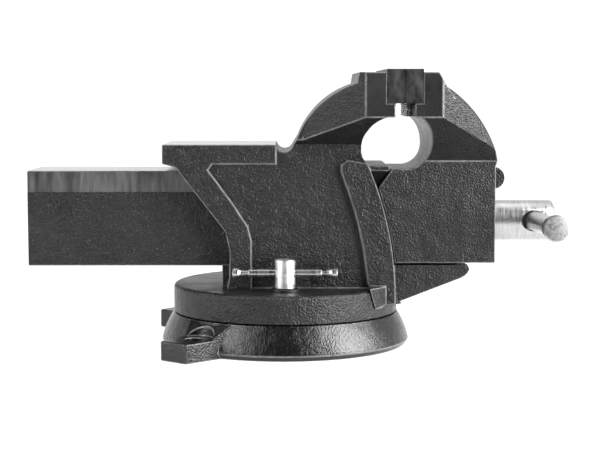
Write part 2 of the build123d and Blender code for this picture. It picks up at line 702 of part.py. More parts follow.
def lock_bolt(y):
    """A bolt whose square head slides in the base's T-groove."""
    with BuildPart() as bolt:
        with Locations((0, y, CHANNEL_TOP - RING_GAP)):
            Box(18, 19, 8, align=(Align.CENTER, Align.CENTER, Align.MAX))
        with BuildSketch(Plane.XY.offset(CHANNEL_TOP - RING_GAP)):
            with Locations((0, y)):
                Circle(LOCK_BOLT_RADIUS)
        extrude(amount=LOCK_BOLT_TOP - CHANNEL_TOP + RING_GAP)
        chamfer(bolt.edges().filter_by(GeomType.CIRCLE).group_by(Axis.Z)[-1], length=0.8)
    return bolt.part


def lock_washer(y):
    """The flat washer between the ring and the lock nut."""
    with BuildPart() as washer:
        with BuildSketch(Plane.XY.offset(RING_TOP)):
            with Locations((0, y)):
                Circle(LOCK_WASHER_RADIUS)
                Circle(LOCK_BOLT_RADIUS + 0.4, mode=Mode.SUBTRACT)
        extrude(amount=LOCK_WASHER_THICKNESS)
        chamfer(washer.edges().filter_by(GeomType.CIRCLE).group_by(Axis.Z)[-1], length=0.3)
    return washer.part


def lock_nut(y):
    """A barrel nut, tapped from below and cross-drilled for its bar."""
    bottom = RING_TOP + LOCK_WASHER_THICKNESS + 0.1
    with BuildPart() as nut:
        with BuildSketch(Plane.XY.offset(bottom)):
            with Locations((0, y)):
                Circle(LOCK_NUT_RADIUS)
        extrude(amount=LOCK_NUT_TOP - bottom)
        chamfer(nut.edges().filter_by(GeomType.CIRCLE), length=0.8)
        with BuildSketch(Plane.XY.offset(bottom)):
            with Locations((0, y)):
                Circle(LOCK_BOLT_RADIUS + BEARING_PLAY)
        extrude(amount=LOCK_BOLT_TOP + 0.4 - bottom, mode=Mode.SUBTRACT)
        with BuildSketch(Plane.YZ):
            with Locations((y, LOCK_BAR_Z)):
                Circle(LOCK_BAR_RADIUS + BEARING_PLAY)
        extrude(amount=20, both=True, mode=Mode.SUBTRACT)
    return nut.part


def lock_bar(y):
    """The tommy bar, turned down at both ends where the knobs are riveted on."""
    shoulder = LOCK_BAR_HALF - LOCK_END_LENGTH - 4
    with BuildPart() as bar:
        with BuildSketch(Plane.YZ):
            with Locations((y, LOCK_BAR_Z)):
                Circle(LOCK_BAR_RADIUS)
        extrude(amount=shoulder, both=True)
        chamfer(bar.edges().filter_by(GeomType.CIRCLE), length=0.7)
        with BuildSketch(Plane.YZ):
            with Locations((y, LOCK_BAR_Z)):
                Circle(LOCK_NECK_RADIUS)
        extrude(amount=LOCK_BAR_HALF - 1, both=True)
    return bar.part


def lock_bar_ends(y):
    """The two knobs, tapered towards the bar."""
    with BuildPart() as ends:
        for side in (-1, 1):
            with BuildSketch(Plane.XY.offset(LOCK_BAR_Z)):
                with BuildLine():
                    Polyline(
                        (side * LOCK_BAR_HALF, y),
                        (side * LOCK_BAR_HALF, y - LOCK_END_RADIUS + 0.6),
                        (side * (LOCK_BAR_HALF - 0.6), y - LOCK_END_RADIUS),
                        (side * (LOCK_BAR_HALF - 3), y - LOCK_END_RADIUS),
                        (side * (LOCK_BAR_HALF - LOCK_END_LENGTH), y - 2.8),
                        (side * (LOCK_BAR_HALF - LOCK_END_LENGTH), y - LOCK_NECK_RADIUS),
                        (side * (LOCK_BAR_HALF - 1), y - LOCK_NECK_RADIUS),
                        (side * (LOCK_BAR_HALF - 1), y),
                        close=True,
                    )
                make_face()
            revolve(axis=Axis((0, y, LOCK_BAR_Z), (1, 0, 0)))
    return ends.part


for place, y in (("front", -LOCK_Y), ("back", LOCK_Y)):
    finish(lock_bolt(y), f"lock_bolt_{place}")
    finish(lock_washer(y), f"lock_washer_{place}")
    finish(lock_nut(y), f"lock_nut_{place}")
    finish(lock_bar(y), f"lock_bar_{place}")
    finish(lock_bar_ends(y), f"lock_bar_ends_{place}")


# Spindle with its head, and what holds it in the moving jaw
# The cross hole's plane has its normal along the handle, towards the near end
HANDLE_PLANE = Plane((HANDLE_X, 0, SPINDLE_Z), x_dir=(1, 0, 0), z_dir=(0, -1, 0)).rotated(
    (HANDLE_TILT, 0, 0)
)
THREAD_END = -190.0
HEAD_BACK = BLOCK_FRONT + 0.3
HEAD_FRONT = 213.4
COLLAR_RADIUS = 18.0
COLLAR_LENGTH = 12.0
COLLAR_WASHER_THICKNESS = 2.0
COLLAR_X = CAVITY_END - 0.3 - COLLAR_WASHER_THICKNESS - COLLAR_LENGTH
PIN_RADIUS = 2.5

with BuildPart() as spindle:
    with BuildSketch(Plane.YZ.offset(THREAD_END)):
        with Locations((0, SPINDLE_Z)):
            Circle(THREAD_RADIUS)
    extrude(amount=HEAD_BACK - THREAD_END)
    chamfer(spindle.edges().filter_by(GeomType.CIRCLE).group_by(Axis.X)[0], length=2)
    with BuildSketch(Plane.YZ.offset(HEAD_BACK)):
        with Locations((0, SPINDLE_Z)):
            Circle(HEAD_RADIUS)
    extrude(amount=HEAD_FRONT - HEAD_BACK)
    chamfer(spindle.edges().filter_by(GeomType.CIRCLE).group_by(Axis.X)[-1], length=2.2)
    with BuildSketch(HANDLE_PLANE):
        Circle(HANDLE_RADIUS + BEARING_PLAY)
    extrude(amount=40, both=True, mode=Mode.SUBTRACT)
    with BuildSketch(Plane.XY.offset(SPINDLE_Z)):
        with Locations((COLLAR_X + COLLAR_LENGTH / 2, 0)):
            Circle(PIN_RADIUS)
    extrude(amount=30, both=True, mode=Mode.SUBTRACT)
finish(spindle.part, "spindle")

with BuildPart() as retaining_collar:
    add(disc(COLLAR_RADIUS, COLLAR_X, COLLAR_LENGTH, THREAD_RADIUS))
    with BuildSketch(Plane.XY.offset(SPINDLE_Z)):
        with Locations((COLLAR_X + COLLAR_LENGTH / 2, 0)):
            Circle(PIN_RADIUS)
    extrude(amount=30, both=True, mode=Mode.SUBTRACT)
finish(retaining_collar.part, "retaining_collar")

with BuildPart() as collar_pin:
    with BuildSketch(Plane.XY.offset(SPINDLE_Z)):
        with Locations((COLLAR_X + COLLAR_LENGTH / 2, 0)):
            Circle(PIN_RADIUS)
    extrude(amount=COLLAR_RADIUS - 0.3, both=True)
finish(collar_pin.part, "collar_pin")

finish(
    disc(COLLAR_RADIUS - 1, COLLAR_X + COLLAR_LENGTH, COLLAR_WASHER_THICKNESS, THREAD_RADIUS),
    "collar_washer",
)
finish(
    disc(
        WASHER_SEAT_RADIUS - 0.5,
        BLOCK_FRONT - WASHER_SEAT_DEPTH,
        WASHER_SEAT_DEPTH,
        THREAD_RADIUS + 0.4,
    ),
    "thrust_washer",
)


# Handle: a sliding bar with a cap on each end
CAP_LENGTH = 10.0
CAP_RADIUS = 9.9

with BuildPart() as handle_bar:
    with BuildSketch(HANDLE_PLANE):
        Circle(HANDLE_RADIUS)
    extrude(amount=HANDLE_LENGTH / 2 - 2, both=True)
finish(handle_bar.part, "handle_bar")


def handle_cap(side):
    """A turned cap pressed on the end of the bar; side is 1 for the near end."""
    inner_plane = HANDLE_PLANE.offset(side * (HANDLE_LENGTH / 2 - CAP_LENGTH))
    with BuildPart() as cap:
        with BuildSketch(inner_plane):
            Circle(CAP_RADIUS)
        extrude(amount=side * CAP_LENGTH)
        chamfer(cap.edges().filter_by(GeomType.CIRCLE), length=1)
        with BuildSketch(inner_plane):
            Circle(HANDLE_RADIUS)
        extrude(amount=side * (CAP_LENGTH - 2), mode=Mode.SUBTRACT)
    return cap.part


finish(handle_cap(1), "handle_cap_near")
finish(handle_cap(-1), "handle_cap_far")
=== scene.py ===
import json
import math
import bpy
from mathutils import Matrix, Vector


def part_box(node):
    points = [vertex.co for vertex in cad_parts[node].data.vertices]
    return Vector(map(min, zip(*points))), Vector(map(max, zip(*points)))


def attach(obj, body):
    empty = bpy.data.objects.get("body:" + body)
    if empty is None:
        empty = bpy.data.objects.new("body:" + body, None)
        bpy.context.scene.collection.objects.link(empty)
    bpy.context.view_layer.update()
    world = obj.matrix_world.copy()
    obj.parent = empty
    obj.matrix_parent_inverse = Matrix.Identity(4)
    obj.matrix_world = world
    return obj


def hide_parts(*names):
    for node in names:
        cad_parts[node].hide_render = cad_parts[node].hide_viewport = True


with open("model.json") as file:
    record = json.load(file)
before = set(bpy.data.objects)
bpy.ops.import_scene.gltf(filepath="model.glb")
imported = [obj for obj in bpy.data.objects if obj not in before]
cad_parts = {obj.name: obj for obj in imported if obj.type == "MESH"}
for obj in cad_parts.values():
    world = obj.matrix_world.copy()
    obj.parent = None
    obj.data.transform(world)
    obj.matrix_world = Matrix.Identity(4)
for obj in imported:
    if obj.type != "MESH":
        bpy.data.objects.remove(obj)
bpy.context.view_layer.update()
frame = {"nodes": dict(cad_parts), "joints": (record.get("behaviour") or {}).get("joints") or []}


# ---------------------------------------------------------------- Studio
# A sheet of white card swept up behind the vise, two tall soft boxes at its sides and a
# wide one overhead. The card and lights are the stage, and no part of the vise.
CARD_HALF = 1.5
CARD_FRONT = -0.46
SWEEP_BACK = 1.0
SWEEP_HEIGHT = 2.4
CARD_WHITE = (0.32, 0.32, 0.32, 1)
CARD_GLOW = 0.72
SIDE_BOX = (1.0, 1.5)
RIGHT_POWER = 125.0
LEFT_POWER = 44.0
TOP_POWER = 8.0
CAMERA_PLACE = (0.0059, -1.1849, 0.2018)
CAMERA_PITCH = math.radians(90 - 5.231)
CAMERA_TURN = math.radians(-0.281)
CAMERA_LENS = 89.26


def new_material(name):
    """An empty node material: returns it, its node tree and its Principled shader."""
    material = bpy.data.materials.new(name)
    material.use_nodes = True
    tree = material.node_tree
    return material, tree, tree.nodes["Principled BSDF"]


def alone(piece):
    """Leaves one object selected and active, as every operator here expects."""
    bpy.ops.object.select_all(action="DESELECT")
    piece.select_set(True)
    bpy.context.view_layer.objects.active = piece


bpy.ops.object.select_all(action="DESELECT")
bpy.ops.mesh.primitive_plane_add(size=2 * CARD_HALF, location=(0, CARD_FRONT + CARD_HALF, 0))
card = bpy.context.active_object
card.name = "white_card"
bpy.ops.object.transform_apply(location=True)
bpy.ops.object.mode_set(mode="EDIT")
bpy.ops.mesh.select_all(action="DESELECT")
bpy.ops.object.mode_set(mode="OBJECT")
for edge in card.data.edges:
    edge.select = all(card.data.vertices[v].co.y > 0 for v in edge.vertices)
bpy.ops.object.mode_set(mode="EDIT")
bpy.ops.mesh.select_mode(type="EDGE")
bpy.ops.mesh.extrude_region_move(TRANSFORM_OT_translate={"value": (0, 0, SWEEP_HEIGHT)})
bpy.ops.mesh.select_all(action="DESELECT")
bpy.ops.object.mode_set(mode="OBJECT")
for edge in card.data.edges:
    edge.select = all(
        card.data.vertices[v].co.y > 0 and card.data.vertices[v].co.z < 0.001 for v in edge.vertices
    )
bpy.ops.object.mode_set(mode="EDIT")
bpy.ops.mesh.bevel(offset=SWEEP_BACK, offset_type="OFFSET", segments=24, affect="EDGES")
bpy.ops.object.mode_set(mode="OBJECT")
bpy.ops.object.shade_smooth()
card_paper, _, card_shader = new_material("white_card")
card_shader.inputs["Base Color"].default_value = CARD_WHITE
card_shader.inputs["Roughness"].default_value = 0.9
card_shader.inputs["Emission Color"].default_value = (1, 1, 1, 1)
card_shader.inputs["Emission Strength"].default_value = CARD_GLOW
card.data.materials.append(card_paper)


def soft_box(name, place, aim, size, power):
    """A rectangular soft light at place, turned towards aim."""
    bpy.ops.object.light_add(type="AREA", location=place)
    box = bpy.context.active_object
    box.name = name
    box.data.shape = "RECTANGLE"
    box.data.size, box.data.size_y = size
    box.data.energy = power
    box.rotation_euler = (Vector(aim) - Vector(place)).to_track_quat("-Z", "Y").to_euler()
    return box


soft_box("side_light_right", (1.35, -0.62, 0.62), (0.05, 0, 0.1), SIDE_BOX, RIGHT_POWER)
soft_box("side_light_left", (-1.35, -0.75, 0.75), (-0.02, 0, 0.1), SIDE_BOX, LEFT_POWER)
soft_box("top_light", (0, 0.15, 1.6), (0, 0, 0.1), (1.6, 1.0), TOP_POWER)

# The room: white all round, and dim on the side where the camera stands
room = bpy.data.worlds.new("room")
bpy.context.scene.world = room
room.use_nodes = True
room_nodes, room_links = room.node_tree.nodes, room.node_tree.links
room_nodes.clear()
direction = room_nodes.new("ShaderNodeTexCoord")
split = room_nodes.new("ShaderNodeSeparateXYZ")
ramp = room_nodes.new("ShaderNodeValToRGB")
ramp.color_ramp.elements[0].position = 0.42
ramp.color_ramp.elements[0].color = (0.03, 0.03, 0.03, 1)
ramp.color_ramp.elements[1].position = 0.62
ramp.color_ramp.elements[1].color = (1, 1, 1, 1)
rescale = room_nodes.new("ShaderNodeMapRange")
rescale.inputs["From Min"].default_value = -1
rescale.inputs["From Max"].default_value = 1
backdrop = room_nodes.new("ShaderNodeBackground")
lighting = room_nodes.new("ShaderNodeBackground")
ray_kind = room_nodes.new("ShaderNodeLightPath")
mix = room_nodes.new("ShaderNodeMixShader")
output = room_nodes.new("ShaderNodeOutputWorld")
room_links.new(direction.outputs["Generated"], split.inputs[0])
room_links.new(split.outputs["Y"], rescale.inputs["Value"])
room_links.new(rescale.outputs[0], ramp.inputs[0])
room_links.new(ramp.outputs[0], lighting.inputs["Color"])
room_links.new(ray_kind.outputs["Is Camera Ray"], mix.inputs[0])
room_links.new(lighting.outputs[0], mix.inputs[1])
room_links.new(backdrop.outputs[0], mix.inputs[2])
room_links.new(mix.outputs[0], output.inputs[0])
backdrop.inputs["Color"].default_value = (1, 1, 1, 1)
lighting.inputs["Strength"].default_value = 1.0

bpy.ops.object.camera_add(location=CAMERA_PLACE)
camera = bpy.context.active_object
camera.rotation_euler = (CAMERA_PITCH, 0, CAMERA_TURN)
camera.data.lens = CAMERA_LENS
bpy.context.scene.camera = camera
bpy.context.scene.view_settings.view_transform = "Standard"


# ---------------------------------------------------------------- Base plate
# Grey iron casting, a coned disc with three bolting lugs, sprayed in gloss black over
# the raw sand-cast skin. The swivel ring turns on its machined top.
BASE_ENAMEL = (0.0015, 0.0015, 0.0015, 1)
EDGE_ROUND = 0.0008
# The edge slot carries the paler enamel painted on rounded edges as a highlight.
ENAMEL_SLOT, EDGE_HIGHLIGHT_SLOT, PLANED_SLOT, SMOOTH_SLOT, MILLED_SLOT = range(5)
RING_SEAT = 0.024
MERGE_WITHIN = 0.000005


def node_value(tree, kind, **values):
    """Adds a node and sets its named inputs."""
    node = tree.nodes.new(kind)
    for name, value in values.items():
        node.inputs[name.replace("_", " ")].default_value = value
    return node


def cast_enamel(name, colour, roughness, grain_height, shine):
    """Sprayed enamel over a sand-cast skin: fine grain over slow waves, and dull patches."""
    material, tree, shader = new_material(name)
    links = tree.links
    place = tree.nodes.new("ShaderNodeTexCoord")
    grain = node_value(tree, "ShaderNodeTexNoise", Scale=720.0, Detail=2.5, Roughness=0.55)
    waves = node_value(tree, "ShaderNodeTexNoise", Scale=70.0, Detail=2.0, Roughness=0.5)
    patches = node_value(tree, "ShaderNodeTexNoise", Scale=38.0, Detail=5.0, Roughness=0.62)
    grain_bump = node_value(tree, "ShaderNodeBump", Strength=1.0, Distance=grain_height)
    wave_bump = node_value(tree, "ShaderNodeBump", Strength=1.0, Distance=grain_height * 1.6)
    dullness = node_value(tree, "ShaderNodeMapRange", From_Min=0.3, From_Max=0.7)
    dullness.inputs["To Min"].default_value = roughness - 0.06
    dullness.inputs["To Max"].default_value = roughness + 0.08
    tint = tree.nodes.new("ShaderNodeValToRGB")
    tint.color_ramp.elements[0].position = 0.3
    tint.color_ramp.elements[0].color = [c * 0.8 for c in colour[:3]] + [1]
    tint.color_ramp.elements[1].position = 0.7
    tint.color_ramp.elements[1].color = [c * 1.25 for c in colour[:3]] + [1]
    for noise in (grain, waves, patches):
        links.new(place.outputs["Object"], noise.inputs["Vector"])
    links.new(grain.outputs["Fac"], grain_bump.inputs["Height"])
    links.new(waves.outputs["Fac"], wave_bump.inputs["Height"])
    links.new(wave_bump.outputs["Normal"], grain_bump.inputs["Normal"])
    links.new(grain_bump.outputs["Normal"], shader.inputs["Normal"])
    links.new(patches.outputs["Fac"], dullness.inputs["Value"])
    links.new(dullness.outputs[0], shader.inputs["Roughness"])
    links.new(patches.outputs["Fac"], tint.inputs[0])
    links.new(tint.outputs[0], shader.inputs["Base Color"])
    shader.inputs["Specular IOR Level"].default_value = shine
    return material


def painted_edge_highlight(name, colour):
    """Enamel painted paler along a rounded edge as a highlight, the paleness broken up in patches."""
    material, tree, shader = new_material(name)
    links = tree.links
    place = tree.nodes.new("ShaderNodeTexCoord")
    highlight_patches = node_value(tree, "ShaderNodeTexNoise", Scale=240.0, Detail=4.0, Roughness=0.6)
    tint = tree.nodes.new("ShaderNodeValToRGB")
    tint.color_ramp.elements[0].position = 0.35
    tint.color_ramp.elements[0].color = [c * 0.35 for c in colour[:3]] + [1]
    tint.color_ramp.elements[1].position = 0.72
    tint.color_ramp.elements[1].color = colour
    bump = node_value(tree, "ShaderNodeBump", Strength=1.0, Distance=0.00025)
    links.new(place.outputs["Object"], highlight_patches.inputs["Vector"])
    links.new(highlight_patches.outputs["Fac"], tint.inputs[0])
    links.new(tint.outputs[0], shader.inputs["Base Color"])
    links.new(highlight_patches.outputs["Fac"], bump.inputs["Height"])
    links.new(bump.outputs["Normal"], shader.inputs["Normal"])
    shader.inputs["Roughness"].default_value = 0.36
    return material


def machined_steel(name, colour, roughness, stretch):
    """Cut metal with fine tool lines: stretch is how closely they lie along each axis."""
    material, tree, shader = new_material(name)
    links = tree.links
    place = tree.nodes.new("ShaderNodeTexCoord")
    scale = node_value(tree, "ShaderNodeMapping", Scale=stretch)
    lines = node_value(tree, "ShaderNodeTexNoise", Scale=1.0, Detail=4.0, Roughness=0.65)
    tint = tree.nodes.new("ShaderNodeValToRGB")
    tint.color_ramp.elements[0].position = 0.3
    tint.color_ramp.elements[0].color = [c * 0.72 for c in colour[:3]] + [1]
    tint.color_ramp.elements[1].position = 0.72
    tint.color_ramp.elements[1].color = [min(1, c * 1.15) for c in colour[:3]] + [1]
    dullness = node_value(tree, "ShaderNodeMapRange", From_Min=0.3, From_Max=0.7)
    dullness.inputs["To Min"].default_value = roughness * 0.75
    dullness.inputs["To Max"].default_value = roughness * 1.3
    bump = node_value(tree, "ShaderNodeBump", Strength=0.5, Distance=0.00004)
    links.new(place.outputs["Object"], scale.inputs["Vector"])
    links.new(scale.outputs[0], lines.inputs["Vector"])
    links.new(lines.outputs["Fac"], tint.inputs[0])
    links.new(tint.outputs[0], shader.inputs["Base Color"])
    links.new(lines.outputs["Fac"], dullness.inputs["Value"])
    links.new(dullness.outputs[0], shader.inputs["Roughness"])
    links.new(lines.outputs["Fac"], bump.inputs["Height"])
    links.new(bump.outputs["Normal"], shader.inputs["Normal"])
    shader.inputs["Metallic"].default_value = 1.0
    return material


def casting(node, name, body, finishes):
    """A copy of a CAD casting with its flat faces joined up, ready to have every sharp edge rolled over.
    The finishes are the casting's enamel, its paler edge enamel painted as a highlight, and any machined
    ones."""
    piece = bpy.data.objects.new(name, frame["nodes"][node].data.copy())
    bpy.context.scene.collection.objects.link(piece)
    piece.data.materials.clear()
    for finish in finishes:
        piece.data.materials.append(finish)
    alone(piece)
    bpy.ops.mesh.customdata_custom_splitnormals_clear()
    bpy.ops.object.mode_set(mode="EDIT")
    bpy.ops.mesh.select_all(action="SELECT")
    bpy.ops.mesh.remove_doubles(threshold=MERGE_WITHIN)
    bpy.ops.mesh.dissolve_limited(angle_limit=math.radians(0.1))
    bpy.ops.mesh.select_all(action="DESELECT")
    bpy.ops.object.mode_set(mode="OBJECT")
    for face in piece.data.polygons:
        face.material_index = ENAMEL_SLOT
    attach(piece, body)
    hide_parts(node)
    return piece


def roll_edges(piece, width, edge_highlight_slot, left_alone):
    """Rounds the sharp edges of a casting and gives the rounding a paler finish painted as a highlight.
    Edges too tight to round, and those whose points are all left_alone, stay as they are."""
    alone(piece)
    bpy.ops.object.mode_set(mode="EDIT")
    bpy.ops.mesh.select_mode(type="EDGE")
    bpy.ops.mesh.edges_select_sharp(sharpness=math.radians(28))
    bpy.ops.object.mode_set(mode="OBJECT")
    mesh = piece.data
    tight = set()
    for edge in mesh.edges:
        start, end = (mesh.vertices[v].co for v in edge.vertices)
        length = (start - end).length
        if length < 0.9 * width or (not edge.select and length < 1.6 * width):
            tight.update(edge.vertices)
    for edge in mesh.edges:
        if tight.intersection(edge.vertices) or all(left_alone(mesh.vertices[v].co) for v in edge.vertices):
            edge.select = False
    mesh.polygons.foreach_set("select", [False] * len(mesh.polygons))
    bpy.ops.object.mode_set(mode="EDIT")
    bpy.ops.mesh.bevel(
        offset=width,
        segments=2,
        affect="EDGES",
        clamp_overlap=False,
        material=edge_highlight_slot,
    )
    bpy.ops.mesh.select_all(action="DESELECT")
    bpy.ops.object.mode_set(mode="OBJECT")
    bpy.ops.object.shade_smooth_by_angle(angle=math.radians(32))
    weights = piece.modifiers.new("flat faces stay flat", "WEIGHTED_NORMAL")
    weights.keep_sharp = True
    bpy.ops.object.modifier_apply(modifier=weights.name)


gloss_enamel = cast_enamel("gloss_black_enamel", BASE_ENAMEL, 0.2, 0.0005, 0.38)
# Paler enamel for the base's rounded edges: a painted highlight.
gloss_painted_highlight = painted_edge_highlight("gloss_black_painted_highlight", (0.12, 0.12, 0.12, 1))
base_plate = casting("base_plate", "base_casting", "base", [gloss_enamel, gloss_painted_highlight])
roll_edges(base_plate, EDGE_ROUND, EDGE_HIGHLIGHT_SLOT, lambda point: point.z > RING_SEAT)


# ---------------------------------------------------------------- Fixed body
# The largest casting: swivel ring, hollow core, anvil and rear jaw arm in one piece. It is
# sprayed in satin black, and only the anvil's top is planed bright.
BODY_ENAMEL = (0.0055, 0.0055, 0.0055, 1)
ANVIL_TOP = 0.1592
ANVIL_END = -0.006
HEAD_SIDE = 0.0745
HEAD_BOTTOM = 0.17
SQUARE_ON = 0.99
LEVEL_WITHIN = 0.0002
FIXED_SEAT = 0.0762
MOVING_SEAT = 0.1035
SEAT_BOTTOM = 0.191
SCREW_Y = 0.0475
SCREW_Z = 0.2035
SCREW_REACH = 0.006
POCKET_HALF = 0.0345
RING_ROUNDING = 0.0875
satin_enamel = cast_enamel("satin_black_enamel", BODY_ENAMEL, 0.31, 0.0011, 0.27)
# Paler enamel for the rounded edges of body and jaw: a painted highlight.
satin_painted_highlight = painted_edge_highlight("satin_black_painted_highlight", (0.13, 0.13, 0.13, 1))
head_enamel = cast_enamel("smooth_black_enamel", (0.008, 0.008, 0.008, 1), 0.38, 0.0002, 0.4)
planed_steel = machined_steel("planed_steel", (0.5, 0.5, 0.5, 1), 0.3, (60, 900, 60))
fixed_body = casting(
    "fixed_body",
    "fixed_body_casting",
    "swivel_body",
    [satin_enamel, satin_painted_highlight, planed_steel, head_enamel],
)
for face in fixed_body.data.polygons:
    on_anvil = abs(face.center.z - ANVIL_TOP) < LEVEL_WITHIN and face.center.x < ANVIL_END
    if face.normal.z > SQUARE_ON and on_anvil:
        face.material_index = PLANED_SLOT
    on_head = abs(face.center.y) > HEAD_SIDE and face.center.z > HEAD_BOTTOM
    if abs(face.normal.y) > SQUARE_ON and on_head:
        face.material_index = SMOOTH_SLOT


def near_seat(point):
    """Hidden behind a jaw plate: the seat's corner, its screw holes and the pipe jaw's pocket."""
    on_seat = min(abs(point.x - FIXED_SEAT), abs(point.x - MOVING_SEAT)) < 0.0008
    corner = on_seat and abs(point.z - SEAT_BOTTOM) < 0.0003
    beside_screw = max(abs(abs(point.y) - SCREW_Y), abs(point.z - SCREW_Z)) < SCREW_REACH
    holes = on_seat and beside_screw
    pocket = abs(point.y) < POCKET_HALF and 0.18 < point.z < 0.1915 and 0.07 < point.x < 0.11
    return corner or holes or pocket


def on_ring_or_crown(point):
    """The ring's own rounding, the body's foot on it, the thin lips beside the slide, the rib's
    top under the throat, and the two ends of the blend along the crown."""
    on_rounding = abs(math.hypot(point.x, point.y) - RING_ROUNDING) < 0.0022
    ring = on_rounding and (point.x < 0.05 or abs(point.y) > 0.0475)
    foot = 0.044 < point.z < 0.0495 and point.x < 0.05
    lips = point.x > 0.083 and 0.0635 < point.z < 0.0662
    rib = abs(point.y) < 0.043 and 0.143 < point.z < 0.149 and 0.045 < point.x < 0.066
    start = abs(abs(point.y) - 0.0476) < 0.0003 and 0.009 < point.x < 0.021 and point.z > 0.163
    end = 0.04 < point.x < 0.0615 and point.z > 0.19
    return ring or foot or lips or rib or start or end or near_seat(point)


roll_edges(fixed_body, EDGE_ROUND, EDGE_HIGHLIGHT_SLOT, on_ring_or_crown)


# ---------------------------------------------------------------- Moving jaw
# Front jaw arm, block and the long hollow slide, cast in one piece. The slide's top and
# the upper band of its sides are milled bright where they run in the body.
SLIDE_TOP = 0.1384
BAND_HALF = 0.0304
milled_steel = machined_steel("milled_steel", (0.15, 0.15, 0.15, 1), 0.44, (120, 60, 20))
moving_jaw = casting(
    "moving_jaw",
    "moving_jaw_casting",
    "moving_jaw",
    [satin_enamel, satin_painted_highlight, planed_steel, head_enamel, milled_steel],
)
for face in moving_jaw.data.polygons:
    if face.normal.z > SQUARE_ON and abs(face.center.z - SLIDE_TOP) < LEVEL_WITHIN:
        face.material_index = PLANED_SLOT
    on_head = abs(face.center.y) > HEAD_SIDE and face.center.z > HEAD_BOTTOM
    if abs(face.normal.y) > SQUARE_ON and on_head:
        face.material_index = SMOOTH_SLOT
    if abs(face.normal.y) > SQUARE_ON and abs(abs(face.center.y) - BAND_HALF) < LEVEL_WITHIN:
        face.material_index = MILLED_SLOT


def on_bead_or_crown(point):
    """The bead's foot on the block, and the end of the blend along the arm's crown."""
    bead = point.x > 0.16 and 0.12 < point.z < 0.1435
    return bead or (0.119 < point.x < 0.135 and point.z > 0.185) or near_seat(point)


roll_edges(moving_jaw, EDGE_ROUND, EDGE_HIGHLIGHT_SLOT, on_bead_or_crown)


# ---------------------------------------------------------------- Spindle
# One steel bar: a rolled trapezoidal thread of 6 mm lead inside the slide, a plain shank
# through the jaw, and a turned head cross-drilled and countersunk for the handle.
PITCH = 0.006
THREAD_CREST = 0.013
THREAD_ROOT = 0.0104
THREAD_PROFILE = ((0.0022, 0), (0.0007, 1), (0.0024, 0), (0.0007, -1))
SHANK_START = 0.1125
SHANK_END = 0.1625
HEAD_RADIUS = 0.016
HANDLE_HOLE = 0.0082
SEAM_WITHIN = 0.000002
spindle_low, spindle_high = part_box("spindle")
spindle_axis = (spindle_low.z + spindle_high.z) / 2
handle_low, handle_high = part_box("handle_bar")
handle_centre = (handle_low + handle_high) / 2
handle_axis = Vector(next(j for j in frame["joints"] if j["name"] == "handle_slide")["axis"])
ALONG_X, ALONG_Z = Vector((1, 0, 0)), Vector((0, 0, 1))


def drawn_line(name, origin, axis, side, points):
    """A profile drawn point by point: each point is a distance along the axis and a radius."""
    bpy.ops.object.select_all(action="DESELECT")
    bpy.ops.mesh.primitive_plane_add(size=0.001, location=origin)
    line = bpy.context.active_object
    line.name = line.data.name = name
    bpy.ops.object.mode_set(mode="EDIT")
    bpy.ops.mesh.select_mode(type="VERT")
    bpy.ops.mesh.select_all(action="SELECT")
    bpy.ops.mesh.merge(type="CENTER")
    bpy.ops.transform.translate(value=axis * points[0][0] + side * points[0][1])
    for before, after in zip(points, points[1:]):
        step = axis * (after[0] - before[0]) + side * (after[1] - before[1])
        bpy.ops.mesh.extrude_region_move(TRANSFORM_OT_translate={"value": step})
    bpy.ops.object.mode_set(mode="OBJECT")
    return line


def settle(piece, smooth_angle=35):
    """Puts a finished piece's origin at the frame's, and smooths all but its sharp edges."""
    alone(piece)
    bpy.ops.object.transform_apply(location=True, rotation=True, scale=True)
    bpy.ops.object.shade_smooth_by_angle(angle=math.radians(smooth_angle))


def close_up(piece):
    """Merges a shape's seams and poles and points its faces outwards."""
    alone(piece)
    bpy.ops.object.mode_set(mode="EDIT")
    bpy.ops.mesh.select_all(action="SELECT")
    bpy.ops.mesh.remove_doubles(threshold=SEAM_WITHIN)
    bpy.ops.mesh.normals_make_consistent(inside=False)
    bpy.ops.mesh.select_all(action="DESELECT")
    bpy.ops.object.mode_set(mode="OBJECT")


def turned(name, origin, axis, side, points, steps=64):
    """A lathe-turned piece: its profile spun a full turn about the axis."""
    piece = drawn_line(name, origin, axis, side, points)
    bpy.ops.object.mode_set(mode="EDIT")
    bpy.ops.mesh.select_all(action="SELECT")
    bpy.ops.mesh.spin(steps=steps, angle=math.radians(360), center=origin, axis=axis)
    bpy.ops.object.mode_set(mode="OBJECT")
    close_up(piece)
    settle(piece)
    return piece


def cut_or_add(piece, other, operation):
    """Joins another shape to a piece, or cuts it away, and drops the other shape."""
    alone(piece)
    step = piece.modifiers.new("join", "BOOLEAN")
    step.operation = operation
    step.solver = "EXACT"
    step.object = other
    bpy.ops.object.modifier_apply(modifier=step.name)
    bpy.data.objects.remove(other)


def cross_hole(name, origin, axis, radius, half_land, reach, flare, steps=64):
    """The shape cut through for a sliding bar: straight in the middle and flared at both ends."""
    side = ALONG_X if abs(axis.x) < 0.5 else ALONG_Z
    points = [
        (-reach, 0),
        (-reach, radius + flare),
        (-half_land, radius),
        (half_land, radius),
        (reach, radius + flare),
        (reach, 0),
    ]
    return turned(name, origin, axis, side, points, steps)


def bright_steel(name, colour, roughness, stretch, depth):
    """Turned and polished steel, with tool lines that run round the piece."""
    material = machined_steel(name, colour, roughness, stretch)
    bump = next(n for n in material.node_tree.nodes if n.type == "BUMP")
    bump.inputs["Distance"].default_value = depth
    return material


